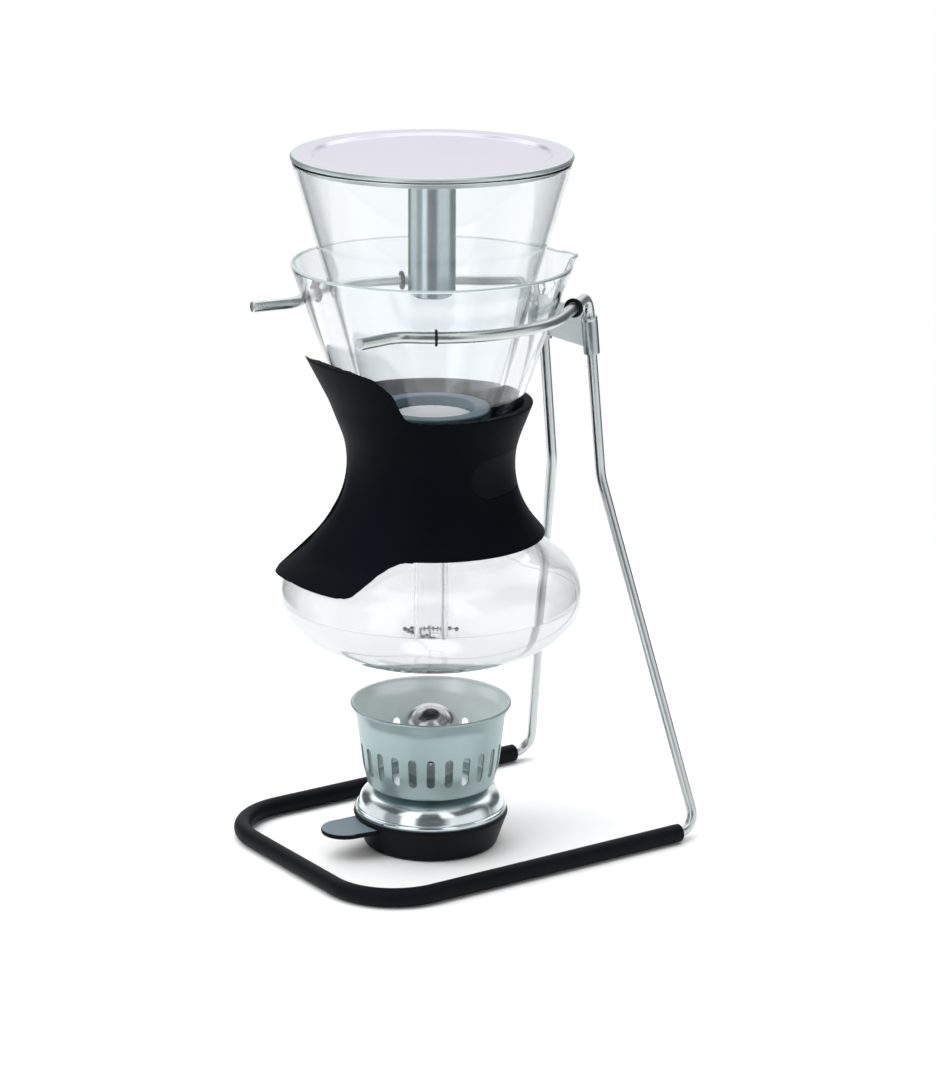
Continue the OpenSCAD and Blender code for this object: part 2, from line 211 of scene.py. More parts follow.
def object_from(name, bm, sharp=32.0):
    bmesh.ops.remove_doubles(bm, verts=bm.verts, dist=1e-7)
    bmesh.ops.recalc_face_normals(bm, faces=bm.faces)
    mesh = bpy.data.meshes.new(name)
    bm.to_mesh(mesh)
    bm.free()
    smooth(mesh, sharp)
    made = bpy.data.objects.new(name, mesh)
    scene.collection.objects.link(made)
    return made


def bridge(bm, a, b):
    """Faces between two rings of the same length."""
    for i in range(len(a)):
        j = (i + 1) % len(a)
        corners = list(dict.fromkeys([a[i], a[j], b[j], b[i]]))
        if len(corners) > 2:
            bm.faces.new(corners)


def bridge_all(bm, loops, closed=False):
    """Faces from each ring to the next, and back to the first one if closed."""
    for a, b in zip(loops, loops[1:] + (loops[:1] if closed else [])):
        bridge(bm, a, b)


def ring(bm, r, z, steps):
    """Points round the Z axis, or one point on it."""
    if r < 1e-6:
        return [bm.verts.new((0, 0, z * MM))] * steps
    return [
        bm.verts.new((r * math.cos(a) * MM, r * math.sin(a) * MM, z * MM))
        for a in (2 * math.pi * i / steps for i in range(steps))
    ]


def lathe(name, outline, steps=160, sharp=32.0):
    """A closed outline of (r, z) turned round the Z axis."""
    bm = bmesh.new()
    bridge_all(bm, [ring(bm, r, z, steps) for r, z in outline], closed=True)
    return object_from(name, bm, sharp)


def sweep(bm, path, radius, sides=36, edge=0.4):
    """A round bar along a path, with its two end edges rounded."""
    last = len(path) - 1
    tangents = [(path[min(i + 1, last)] - path[max(i - 1, 0)]).normalized() for i in range(len(path))]
    across = tangents[0].orthogonal().normalized()
    stations = []
    for p, t in zip(path, tangents):
        across = (across - t * across.dot(t)).normalized()
        stations.append((p, t, across.copy(), radius))
    ends = []
    for (p, t, u, r), sign in ((stations[0], -1), (stations[-1], 1)):
        ends.append([
            (p - sign * t * edge * (1 - math.sin(a)), t, u, r - edge * (1 - math.cos(a)))
            for a in (math.pi / 8 * k for k in range(5))
        ])
    rings = []
    for p, t, u, r in ends[0][::-1] + stations[1:-1] + ends[1]:
        w = t.cross(u)
        rings.append([
            bm.verts.new((p + r * (u * math.cos(a) + w * math.sin(a))) * MM)
            for a in (2 * math.pi * k / sides for k in range(sides))
        ])
    bridge_all(bm, rings)
    for end in (rings[0], rings[-1]):
        bm.faces.new(end)


def bar(name, path, radius, sides=36, edge=0.4):
    bm = bmesh.new()
    sweep(bm, path, radius, sides, edge)
    return object_from(name, bm, 40)


def add_torus(bm, centre, axis, major, minor, around=72, across=20):
    axis = Vector(axis).normalized()
    u = axis.orthogonal().normalized()
    w = axis.cross(u)
    rings = []
    for i in range(around):
        out = u * math.cos(2 * math.pi * i / around) + w * math.sin(2 * math.pi * i / around)
        rings.append([
            bm.verts.new((centre + out * (major + minor * math.cos(a)) + axis * minor * math.sin(a)) * MM)
            for a in (2 * math.pi * k / across for k in range(across))
        ])
    bridge_all(bm, rings, closed=True)


def boolean(obj, cutter, operation):
    """Cuts obj's mesh with the cutter, or keeps what the two share."""
    modifier = obj.modifiers.new("cut", "BOOLEAN")
    modifier.operation = operation
    modifier.solver = "EXACT"
    modifier.object = cutter
    depsgraph = bpy.context.evaluated_depsgraph_get()
    mesh = bpy.data.meshes.new_from_object(obj.evaluated_get(depsgraph))
    obj.modifiers.clear()
    old = obj.data
    obj.data = mesh
    bpy.data.meshes.remove(old)
    smooth(mesh, 32)


def discard(obj):
    bpy.data.objects.remove(obj, do_unlink=True)


# ------------------------ node trees

class Nodes:
    """A short way to write the node tree of a material or a world."""

    def __init__(self, tree):
        self.tree = tree

    def add(self, kind, **settings):
        node = self.tree.nodes.new(kind)
        for key, value in settings.items():
            setattr(node, key, value)
        return node

    def put(self, value, socket):
        if isinstance(value, bpy.types.NodeSocket):
            self.tree.links.new(value, socket)
        else:
            socket.default_value = value

    def math(self, operation, a, b=0.0):
        node = self.add("ShaderNodeMath", operation=operation)
        self.put(a, node.inputs[0])
        self.put(b, node.inputs[1])
        return node.outputs[0]

    def span(self, value, low, high, to_low=0.0, to_high=1.0):
        """A smooth change from to_low to to_high as the value goes from low to high."""
        node = self.add("ShaderNodeMapRange", interpolation_type="SMOOTHSTEP")
        for i, v in enumerate((value, low, high, to_low, to_high)):
            self.put(v, node.inputs[i])
        return node.outputs[0]

    def blend(self, share, a, b):
        node = self.add("ShaderNodeMix", data_type="RGBA")
        self.put(share, node.inputs[0])
        self.put(a, node.inputs[6])
        self.put(b, node.inputs[7])
        return node.outputs[2]

    def noise(self, where, scale, detail=3.0):
        node = self.add("ShaderNodeTexNoise")
        self.put(where, node.inputs["Vector"])
        node.inputs["Scale"].default_value = scale
        node.inputs["Detail"].default_value = detail
        node.inputs["Roughness"].default_value = 0.55
        return node.outputs[0]

    def place(self):
        return self.add("ShaderNodeTexCoord").outputs["Object"]

    def parts(self, vector):
        node = self.add("ShaderNodeSeparateXYZ")
        self.put(vector, node.inputs[0])
        return node.outputs

    def vector(self, x, y, z):
        node = self.add("ShaderNodeCombineXYZ")
        for i, v in enumerate((x, y, z)):
            self.put(v, node.inputs[i])
        return node.outputs[0]

    def turned(self, stretch=1.0):
        """Coordinates that run round the Z axis: radius, turn, height."""
        x, y, z = self.parts(self.place())
        radius = self.math("SQRT", self.math("ADD", self.math("MULTIPLY", x, x), self.math("MULTIPLY", y, y)))
        turn = self.math("MULTIPLY", self.math("ARCTAN2", y, x), 0.001 * stretch)
        return radius, turn, z

    def bump(self, height, strength, distance):
        node = self.add("ShaderNodeBump")
        self.put(height, node.inputs["Height"])
        node.inputs["Strength"].default_value = strength
        node.inputs["Distance"].default_value = distance
        return node.outputs[0]


def empty_nodes(owner):
    owner.use_nodes = True
    owner.node_tree.nodes.clear()
    return Nodes(owner.node_tree)


def finish_of(made):
    """A material's nodes, its shader and what feeds the shader's colour."""
    shader = next(node for node in made.node_tree.nodes if node.type == "BSDF_PRINCIPLED")
    return Nodes(made.node_tree), shader, shader.inputs["Base Color"].links[0].from_socket


# ------------------------ kinds of finish

MATERIALS = {}


def shade(colour, by):
    return tuple(min(1.0, c * by) for c in colour) + (1.0,)


def material(name, colour, roughness, metallic=0.0, spread=0.08, grain=900.0, rough_spread=0.15,
             bump=0.0, bump_depth=0.0001, specular=0.5, sheen=0.0, pattern=None):
    """A surface whose colour, roughness and relief follow a pattern, or noise with this grain per metre."""
    made = bpy.data.materials.new(name)
    MATERIALS[name] = made
    n = empty_nodes(made)
    shader = n.add("ShaderNodeBsdfPrincipled")
    n.put(shader.outputs[0], n.add("ShaderNodeOutputMaterial").inputs[0])
    where = n.place()
    fine = pattern(n) if pattern else n.noise(where, grain)
    cloudy = n.noise(where, 18.0, 2.0)
    mixed = n.math("ADD", n.math("MULTIPLY", fine, 0.6), n.math("MULTIPLY", cloudy, 0.4))
    low, high = shade(colour, 1 - spread), shade(colour, 1 + spread)
    n.put(n.blend(n.span(mixed, 0.3, 0.7), low, high), shader.inputs["Base Color"])
    n.put(n.span(mixed, 0.3, 0.7, roughness * (1 - rough_spread), roughness * (1 + rough_spread)),
          shader.inputs["Roughness"])
    if bump:
        n.put(n.bump(fine, bump, bump_depth), shader.inputs["Normal"])
    shader.inputs["Metallic"].default_value = metallic
    shader.inputs["Specular IOR Level"].default_value = specular
    shader.inputs["Sheen Weight"].default_value = sheen
    return made


def metal(name, colour, roughness, spread=0.04, grain=1500.0, rough_spread=0.15, bump=0.0, pattern=None):
    return material(name, colour, roughness, 1.0, spread, grain, rough_spread, bump, 0.00005, pattern=pattern)


def rubber(name, colour, roughness, specular, grain=1800.0, rough_spread=0.15, bump=0.1):
    return material(name, colour, roughness, 0.0, 0.3, grain, rough_spread, bump, specular=specular)


def round_brushing(n):
    radius, turn, z = n.turned(3.0)
    return n.noise(n.vector(radius, turn, z), 2600.0, 2.0)


def upright_brushing(n):
    radius, turn, z = n.turned(30.0)
    return n.noise(n.vector(n.math("MULTIPLY", radius, 0.2), turn, n.math("MULTIPLY", z, 0.02)), 1500.0, 2.0)


def weave(n):
    x, y = n.parts(n.place())[:2]
    warp = n.math("SINE", n.math("MULTIPLY", x, 9000.0))
    weft = n.math("SINE", n.math("MULTIPLY", y, 9000.0))
    thread = n.math("MULTIPLY", warp, weft)
    return n.math("ADD", n.math("MULTIPLY", thread, 0.35), n.noise(n.place(), 2500.0))


def braid(n):
    radius, turn, z = n.turned(1000.0)
    left = n.math("SINE", n.math("ADD", n.math("MULTIPLY", turn, 12.0), n.math("MULTIPLY", z, 4500.0)))
    right = n.math("SINE", n.math("SUBTRACT", n.math("MULTIPLY", turn, 12.0), n.math("MULTIPLY", z, 4500.0)))
    return n.math("ADD", n.math("MULTIPLY", n.math("MULTIPLY", left, right), 0.35), 0.5)


def glass_material():
    """Clear glass with a faint tint and the slight waviness of blown walls. A pale surface that light does not
    pass through covers the flask's rim and the edges seen at a grazing angle: painted light that stands in for
    the light these edges catch.
    """
    made = bpy.data.materials.new("clear_glass")
    MATERIALS["clear_glass"] = made
    n = empty_nodes(made)
    facing = n.add("ShaderNodeLayerWeight")
    facing.inputs[0].default_value = 0.25
    radius, turn, z = n.turned()

    # The flask's belly is tinted a little more than the cones and the stem.
    clearer = n.math("MAXIMUM", n.span(z, 0.15, 0.2), n.span(radius, 0.012, 0.018, 1.0, 0.0))
    body = n.blend(clearer, (0.815, 0.823, 0.828, 1), (0.965, 0.973, 0.983, 1))
    edge_on = n.span(facing.outputs["Facing"], 0.3, 0.95)
    glass = n.add("ShaderNodeBsdfPrincipled")
    n.put(n.blend(edge_on, body, (0.60, 0.72, 0.725, 1)), glass.inputs["Base Color"])
    n.put(n.bump(n.noise(n.place(), 34.0, 1.0), 0.06, 0.002), glass.inputs["Normal"])
    n.put(n.span(n.noise(n.place(), 60.0, 2.0), 0.3, 0.7, 0.0, 0.012), glass.inputs["Roughness"])
    glass.inputs["Transmission Weight"].default_value = 1.0
    glass.inputs["IOR"].default_value = 1.45

    # painted light: a pale surface instead of clear glass on the flask's rim and on edges seen edge-on
    rim = n.add("ShaderNodeBsdfPrincipled")
    rim.inputs["Base Color"].default_value = (0.62, 0.74, 0.73, 1)
    n.put(n.span(n.noise(n.place(), 60.0, 2.0), 0.3, 0.7, 0.08, 0.14), rim.inputs["Roughness"])
    rim_z, rim_r = FLASK_RIM_Z * MM, flask_cone_r(FLASK_RIM_Z) * MM
    from_below = n.span(z, rim_z - 0.0013, rim_z - 0.0005)
    from_above = n.span(z, rim_z + 0.001, rim_z + 0.002, 1.0, 0.0)
    from_inside = n.span(radius, rim_r - 0.004, rim_r - 0.003, 0.0, 0.62)
    painted_rim_light = n.math("MULTIPLY", n.math("MULTIPLY", from_below, from_above), from_inside)
    # painted light on edges seen at a grazing angle
    painted_edge_light = n.span(facing.outputs["Facing"], 0.8, 1.0, 0.0, 0.4)

    mixed = n.add("ShaderNodeMixShader")
    n.put(n.math("MAXIMUM", painted_rim_light, painted_edge_light), mixed.inputs[0])
    n.put(glass.outputs[0], mixed.inputs[1])
    n.put(rim.outputs[0], mixed.inputs[2])
    n.put(mixed.outputs[0], n.add("ShaderNodeOutputMaterial").inputs[0])


def silver_edge(made, colour):
    """A plain metal edge and underside on the lid's plate."""
    n, shader, plate = finish_of(made)
    radius, turn, z = n.turned()
    seat = LID_SEAT * MM
    edge = n.math("MAXIMUM", n.span(radius, 0.0640, 0.0656), n.span(z, seat, seat + 0.0006, 1.0, 0.0))
    n.put(n.blend(edge, plate, colour), shader.inputs["Base Color"])
    satin = shader.inputs["Roughness"].links[0].from_socket
    n.put(n.math("ADD", satin, n.math("MULTIPLY", edge, 0.2)), shader.inputs["Roughness"])


def painted_sheen_on_top(made, colour):
    """A paler colour on the faces that look up: a painted sheen that stands in for the reflection of the bright
    studio on the rubber.
    """
    n, shader, plain = finish_of(made)
    up = n.parts(n.add("ShaderNodeNewGeometry").outputs["Normal"])[2]
    n.put(n.blend(n.span(up, 0.9, 1.0), plain, colour), shader.inputs["Base Color"])


def painted_light_inside(made, colour, metallic_inside):
    """A paler colour on the walls that face the Z axis, with their own metallic value: painted light that lifts
    the shade inside the cup.
    """
    n, shader, plain = finish_of(made)
    x, y = n.parts(n.place())[:2]
    facing_x, facing_y = n.parts(n.add("ShaderNodeTexCoord").outputs["Normal"])[:2]
    outward = n.math("ADD", n.math("MULTIPLY", x, facing_x), n.math("MULTIPLY", y, facing_y))
    inside = n.span(outward, -0.02, -0.008, 1.0, 0.0)
    n.put(n.blend(inside, plain, colour), shader.inputs["Base Color"])
    metallic_outside = shader.inputs["Metallic"].default_value
    n.put(n.span(inside, 0.0, 1.0, metallic_outside, metallic_inside), shader.inputs["Metallic"])


def round_grain(made, strength):
    """Brushing that runs round the Z axis, which draws reflections out into wedges."""
    n, shader, plain = finish_of(made)
    n.put(n.add("ShaderNodeTangent", direction_type="RADIAL", axis="Z").outputs[0], shader.inputs["Tangent"])
    shader.inputs["Anisotropic"].default_value = strength
    shader.inputs["Anisotropic Rotation"].default_value = 0.25


# ------------------------ materials

# the stand
metal("wire_steel", (0.565, 0.60, 0.595), 0.3, grain=130.0, rough_spread=0.12)
metal("socket_steel", (0.46, 0.51, 0.52), 0.33, grain=130.0, rough_spread=0.1)
rubber("sleeve_black", (0.0035, 0.0045, 0.006), 0.5, specular=0.08, bump=0.12)
rubber("ring_rubber", (0.006, 0.007, 0.008), 0.5, specular=0.15)

# the bowls, the grip and the seal
glass_material()
rubber("grip_silicone", (0.0025, 0.0035, 0.0055), 0.5, specular=0.025, grain=2400.0, rough_spread=0.1)
rubber("strap_silicone", (0.0038, 0.005, 0.0068), 0.48, specular=0.04, grain=2400.0, rough_spread=0.1)
rubber("packing_rubber", (0.008, 0.009, 0.011), 0.55, specular=0.2, grain=1500.0)

# the filter
metal("filter_steel", (0.66, 0.68, 0.69), 0.25, spread=0.06, rough_spread=0.2, bump=0.05)
metal("bead_chrome", (0.62, 0.63, 0.64), 0.12, spread=0.05, rough_spread=0.2, bump=0.03)
material("filter_cloth", (0.98, 0.98, 0.97), 0.85, rough_spread=0.05, bump=0.6, bump_depth=0.0003,
         specular=0.2, sheen=0.3, pattern=weave)
material("filter_ring_grey", (0.10, 0.165, 0.205), 0.36, spread=0.06, grain=1500.0, rough_spread=0.1,
         bump=0.05, specular=0.4)

# the lid and its tube
plate = metal("lid_plastic", (0.64, 0.625, 0.71), 0.22, spread=0.03, rough_spread=0.1, bump=0.04,
              pattern=round_brushing)
silver_edge(plate, (0.60, 0.66, 0.655, 1))
metal("tube_steel", (0.47, 0.56, 0.565), 0.22, bump=0.05, pattern=upright_brushing)

# the burner
foot = rubber("foot_rubber", (0.0035, 0.0045, 0.006), 0.42, specular=0.1, rough_spread=0.12)
# painted sheen: the up-facing faces of the burner's rubber are coloured paler in place of the reflection they
# catch
painted_sheen_on_top(foot, (0.145, 0.19, 0.22, 1))
tank = metal("tank_steel", (0.70, 0.77, 0.785), 0.17, spread=0.06, rough_spread=0.3, bump=0.1,
             pattern=round_brushing)
round_grain(tank, 0.85)
metal("holder_steel", (0.55, 0.56, 0.56), 0.16, bump=0.04, pattern=round_brushing)
material("wick_cotton", (0.82, 0.79, 0.70), 0.9, spread=0.1, rough_spread=0.05, bump=0.7, bump_depth=0.0005,
         specular=0.1, sheen=0.4, pattern=braid)
shield = material("shield_aluminium", (0.345, 0.44, 0.445), 0.35, 0.82, spread=0.04, grain=4200.0,
                  rough_spread=0.1, bump=0.16, bump_depth=0.00008)
# painted light: the cup's inner walls get a much paler colour than the outside, to lift the shade inside it
painted_light_inside(shield, (0.88, 0.96, 0.955, 1), 0.3)
metal("cap_chrome", (0.62, 0.63, 0.64), 0.19, spread=0.05, rough_spread=0.25, bump=0.05,
      pattern=round_brushing)

SLOT_OF = {s["node"]: s["material_slot"] for s in frame["record"]["subparts"]}
BODY_OF = {n: b for b, members in frame["record"]["behaviour"]["bodies"].items() for n in members}


def give_finish(obj, node):
    obj.data.materials.clear()
    obj.data.materials.append(MATERIALS[SLOT_OF[node]])


def dress(obj, node, stands_for=True):
    """obj takes the finish, the body and the place of a CAD node."""
    give_finish(obj, node)
    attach(obj, BODY_OF[node])
    if stands_for:
        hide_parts(node)
    return obj


for node, cad_object in frame["nodes"].items():
    give_finish(cad_object, node)


# ------------------------ stand

LEG = (JOINT - KNEE).normalized()
ELBOW = JOINT + LEG * (FORK_Z - JOINT.z) / LEG.z
ARM_FRONT = math.radians(132)
ARM_REAR = math.atan2(ELBOW.y, ELBOW.x) + math.acos(FORK_R / math.hypot(ELBOW.x, ELBOW.y))


def both_sides(half):
    return half + [other_side(p) for p in reversed(half)]


def base_corners(rear):
    """The far side's base bar, from the rear to its front corner."""
    return [Vector((rear, BASE_Y, SLEEVE_R)), Vector((-BASE_FRONT, BASE_Y, SLEEVE_R))]


leg_and_base = [JOINT - LEG * 0.2, KNEE] + base_corners(BASE_REAR)
bends = [KNEE_BEND_R, FOOT_BEND_R, CORNER_R]
dress(bar("stand_wire", bent_path(both_sides(leg_and_base), bends + bends[::-1]), WIRE_R), "base_frame")
sleeve_path = bent_path(both_sides(base_corners(BASE_REAR - FOOT_BEND_R * 1.2)), [CORNER_R, CORNER_R])
dress(bar("base_grip_tube", sleeve_path, SLEEVE_R, sides=44, edge=0.7), "base_sleeve")


def arm_path():
    """From the free tip, round the flask, and down into the socket."""
    mid, crown = (ARM_FRONT + ARM_REAR) / 2, FORK_R / math.cos((ARM_FRONT - ARM_REAR) / 2)
    curve_end = FORK_R * Vector((math.cos(ARM_FRONT), math.sin(ARM_FRONT)))
    forward = Vector((-math.sin(ARM_FRONT), math.cos(ARM_FRONT)))
    splay, splay_bend_r, elbow_bend_r, tip_x = math.radians(8.5), 14, 9.5, -72
    outward = Vector((-math.cos(splay), math.sin(splay)))
    neck = curve_end + forward * splay_bend_r * math.tan(forward.angle(outward) / 2)
    tip = neck + outward * (neck.x - tip_x) / math.cos(splay)
    fork = [Vector((*tip, FORK_Z)), Vector((*neck, FORK_Z)), beside(mid, crown, FORK_Z)]
    bends = [splay_bend_r, FORK_R, elbow_bend_r]
    return bent_path(fork + [ELBOW, JOINT + LEG * 0.2], bends, gap=4.0, step=3.0)


arm = arm_path()
dress(bar("fork_arm_left", arm, ARM_R, sides=44, edge=0.6), "left_arm")
dress(bar("fork_arm_right", [other_side(p) for p in arm], ARM_R, sides=44, edge=0.6), "right_arm")


def socket(name, node, mirrored):
    """A tube over the joint, with a turned collar line near its upper end."""
    outline = rounded([(2.62, -9.2), (4.0, -9.2, 0.35), (4.0, 7.2), (3.86, 7.5), (3.86, 7.8), (4.0, 8.1),
                       (4.0, 9.8, 0.35), (2.8, 9.8)])
    made = lathe(name, outline, 64)
    turn = Vector((0, 0, 1)).rotation_difference(LEG).to_matrix().to_4x4()
    made.data.transform(Matrix.Translation(JOINT * MM) @ turn)
    if mirrored:
        made.data.transform(Matrix.Diagonal((1, -1, 1, 1)))
        made.data.flip_normals()
    return dress(made, node)


socket("socket_left", "left_socket", False)
socket("socket_right", "right_socket", True)


def cushion_rings():
    """Two rubber rings on each arm, across the wire. Behind ARM_REAR the wire runs straight."""
    rear = math.degrees(ARM_REAR)
    bm = bmesh.new()
    for side, rings in ((-1, ((-122, 0.62), (-34, 0.98))), (1, ((122, 0.98), (70, 0.98)))):
        for angle, thick in rings:
            straight = abs(angle) < rear
            heading = math.radians(rear * side if straight else angle)
            out = FORK_R / math.cos(math.radians(rear - abs(angle))) if straight else FORK_R
            along_wire = (-math.sin(heading), math.cos(heading), 0)
            centre = beside(math.radians(angle), out, FORK_Z)
            add_torus(bm, centre, along_wire, ARM_R + RING_GAP + thick, thick)
    return object_from("cushion_o_rings", bm)


dress(cushion_rings(), "cushion_rings")


# ------------------------ glass bowls

def belly(inset):
    """The belly's lower half, from the edge of its flat floor to its widest place."""
    return [
        (BELLY_IN + (FLASK_R - BELLY_IN - inset) * math.cos(math.radians(t)),
         BELLY_Z - (BELLY_Z - FLASK_FLOOR_Z - inset) * math.sin(math.radians(t)))
        for t in range(90, -1, -3)
    ]


FLASK_RIM_R = flask_cone_r(FLASK_RIM_Z)
neck_out = rounded([(FLASK_R, BELLY_Z), (FLASK_R + 0.1, BELLY_Z + 12.5, 24), (52.6, 156.6, 30),
                    (29.24, 186.25, 52.5), (FLASK_RIM_R, FLASK_RIM_Z, 0.95),
                    (FLASK_RIM_R - WALL, FLASK_RIM_Z)])[:-1]
neck_in = rounded([(FLASK_R - THIN, BELLY_Z), (FLASK_R - THIN + 0.1, BELLY_Z + 11.9, 23), (51.3, 154.9, 28),
                   (26.8, 186.4, 54.5), (FLASK_RIM_R - WALL - 0.1, FLASK_RIM_Z, 0.95),
                   (FLASK_RIM_R, FLASK_RIM_Z)])[:-1]


def push_out_spout(mesh):
    """A pouring lip, widest at the rim."""
    for v in mesh.vertices:
        r, z, a = math.hypot(v.co.x, v.co.y), v.co.z / MM, math.atan2(v.co.y, v.co.x) - SPOUT_TURN
        lift = swell((z - SPOUT_LOW_Z) / (FLASK_RIM_Z - SPOUT_LOW_Z))
        if lift > 0:
            half_angle = 0.05 + 0.055 * lift
            push = SPOUT_OUT * lift ** 1.3 * math.exp(-((a / half_angle) ** 2)) * MM
            v.co.x *= 1 + push / r
            v.co.y *= 1 + push / r


flask_outline = ([(0, FLASK_FLOOR_Z)] + dense(belly(0)[:-1] + neck_out, 3.0)
                 + dense((belly(THIN)[:-1] + neck_in)[::-1], 3.0) + [(0, FLASK_FLOOR_Z + THIN)])
flask = lathe("lower_glass_bowl", flask_outline, steps=240, sharp=60)
push_out_spout(flask.data)
dress(flask, "lower_bowl")

BOWL_EDGE_Z = BOWL_RIM_Z - 0.15
bowl_outline = dense(rounded([
    (BOWL_RIM_R - 1.05, BOWL_EDGE_Z), (BOWL_RIM_R, BOWL_EDGE_Z, 0.8), (bowl_cone_r(213.7), 213.7, 10),
    (STEM_R, 210.7, 5), (STEM_R, STEM_END_Z, 0.7), (STEM_R - STEM_WALL, STEM_END_Z, 0.7),
    (STEM_R - STEM_WALL, 212.9, 6.6), (bowl_cone_r(215.9) - WALL, 215.9, 8),
    (BOWL_RIM_R - WALL - 0.08, BOWL_EDGE_Z, 0.8), (BOWL_RIM_R - 1.05, BOWL_EDGE_Z)]), 4.0)[:-1]
upper = dress(lathe("upper_glass_bowl", bowl_outline, steps=200, sharp=60), "upper_bowl")
for glass in (flask, upper):
    glass.visible_shadow = False


# ------------------------ neck grip and its strap

GRIP_WAIST_Z, PAST = 190, 95       # PAST is further out than any part of the grip
grip_out = rounded([(78.2, 132), (76.2, 141.2, 5), (60.8, 153.6, 30), (34.07, 186, 46.2), (50, 227.2, 25),
                    (65.9, 258.2)], 3.0)
grip_in = [(r + 0.2, z) for r, z in neck_out if 132.5 <= z <= 227.2] + [(60.6, 258.2)]
grip_top = rounded([(PAST, 225.9), (-36.6, 225.9, 8), (-45.5, 241.4, 12), (-55, 250.4, 8), (-PAST, 250.4)])
near_low = rounded([(-PAST, 142.6), (-68.2, 142.6, 10), (-42.9, 159.2, 18), (PAST, 159.2)])
far_low = rounded([(-PAST, 143), (-75.3, 143, 20), (-56, 136, 5), (-47, 159.2, 8), (PAST, 159.2)])


def low_edge(x, y):
    """The height of the grip's lower edge, which differs on the near and the far side."""
    share = swell((y + 6) / 12)
    return height_at(near_low, x) * (1 - share) + height_at(far_low, x) * share


def trimmed(outline, turn):
    """The stretch of a wall's outline that is left between the grip's lower and upper edge at one angle."""
    fine = dense(outline, 0.6)
    waist = min(range(len(fine)), key=lambda i: abs(fine[i][1] - GRIP_WAIST_Z))
    kept = [fine[waist]]
    for r, z in fine[waist + 1 :]:
        if z > height_at(grip_top, r * math.cos(turn)):
            break
        kept.append((r, z))
    for r, z in fine[waist - 1 :: -1]:
        if z < low_edge(r * math.cos(turn), r * math.sin(turn)):
            break
        kept.insert(0, (r, z))
    return kept


def edge_turn(a, corner, b, ease):
    """A rounded edge at a corner, from ease before it to ease after it."""
    a, corner, b = Vector(a), Vector(corner), Vector(b)
    start = corner + (a - corner).normalized() * min(ease, (a - corner).length * 0.45)
    stop = corner + (b - corner).normalized() * min(ease, (b - corner).length * 0.45)
    shares = (0, 0.25, 0.5, 0.75, 1)
    return [tuple(start * (1 - t) ** 2 + corner * 2 * t * (1 - t) + stop * t * t) for t in shares]


def grip_section(turn, count=56):
    """The grip's closed section at one angle, always with the same number of points."""
    out, inner = trimmed(grip_out, turn), trimmed(grip_in, turn)
    wall_out = [along(out, t / count) for t in range(count + 1)]
    wall_in = [along(inner, 1 - t / count) for t in range(count + 1)]
    loop = edge_turn(wall_in[-2], wall_in[-1], wall_out[0], 0.5)
    loop += edge_turn(wall_in[-1], wall_out[0], wall_out[2], 0.9)
    loop += wall_out[2:-2] + edge_turn(wall_out[-3], wall_out[-1], wall_in[0], 0.9)
    loop += edge_turn(wall_out[-1], wall_in[0], wall_in[2], 0.5) + wall_in[2:-2]
    return loop


def grip_sleeve(steps=360):
    bm = bmesh.new()
    sections = []
    for turn in (2 * math.pi * i / steps for i in range(steps)):
        points = grip_section(turn)
        sections.append([
            bm.verts.new((r * math.cos(turn) * MM, r * math.sin(turn) * MM, z * MM)) for r, z in points
        ])
    bridge_all(bm, sections, closed=True)
    return object_from("neck_grip_sleeve", bm, 40)


def strap_prism(grow):
    """A tongue-shaped prism that points out of the axis at the strap's place."""
    h, end = STRAP_H / 2 + grow, STRAP_HALF + grow
    first = -STRAP_HALF + STRAP_H / 2
    inner_x, outer_x = 25, 55          # well inside and well outside the grip's wall
    angles = [math.pi / 2 + math.pi * k / 32 for k in range(33)]
    outline = [(first + h * math.cos(a), h * math.sin(a)) for a in angles]
    outline = dense(outline + [(end, -h), (end, h), outline[0]], 2.0)[:-1]
    bm = bmesh.new()
    loops = [[bm.verts.new(Vector((x, y, STRAP_Z + z)) * MM) for y, z in outline] for x in (inner_x, outer_x)]
    bridge_all(bm, loops)
    for loop in loops:
        bm.faces.new(loop)
    prism = object_from("strap_prism", bm)
    prism.data.transform(Matrix.Rotation(STRAP_TURN, 4, "Z"))
    return prism


def tongue(name, outer, inner, grow):
    """A piece of shell in the tongue's outline, between two offsets from the grip's outside."""
    low_z, high_z = 165, 222           # the waist, which the tongue lies on
    band = dense([p for p in grip_out if low_z < p[1] < high_z], 1.5)
    made = lathe(name, [(r + outer, z) for r, z in band] + [(r + inner, z) for r, z in band[::-1]], 300)
    prism = strap_prism(grow)
    boolean(made, prism, "INTERSECT")
    discard(prism)
    return made


grip = grip_sleeve()
pocket = tongue("pocket", 1, -2.5, 0.25)
boolean(grip, pocket, "DIFFERENCE")
discard(pocket)
dress(grip, "neck_grip")
dress(tongue("grip_tongue", -0.3, -2.3, 0), "grip_strap")


# ------------------------ filter, spring, hook and beads

dress(lathe("filter_seat_ring", rounded([
    (21, FILTER_LOW_Z), (25.5, FILTER_LOW_Z, 0.5), (SEAT_RING_R - 0.4, 222.4, 1),
    (SEAT_RING_R - 0.9, 223.2, 0.3), (21.6, 223.2, 0.5), (21, 222.4, 0.3)])), "filter_ring")


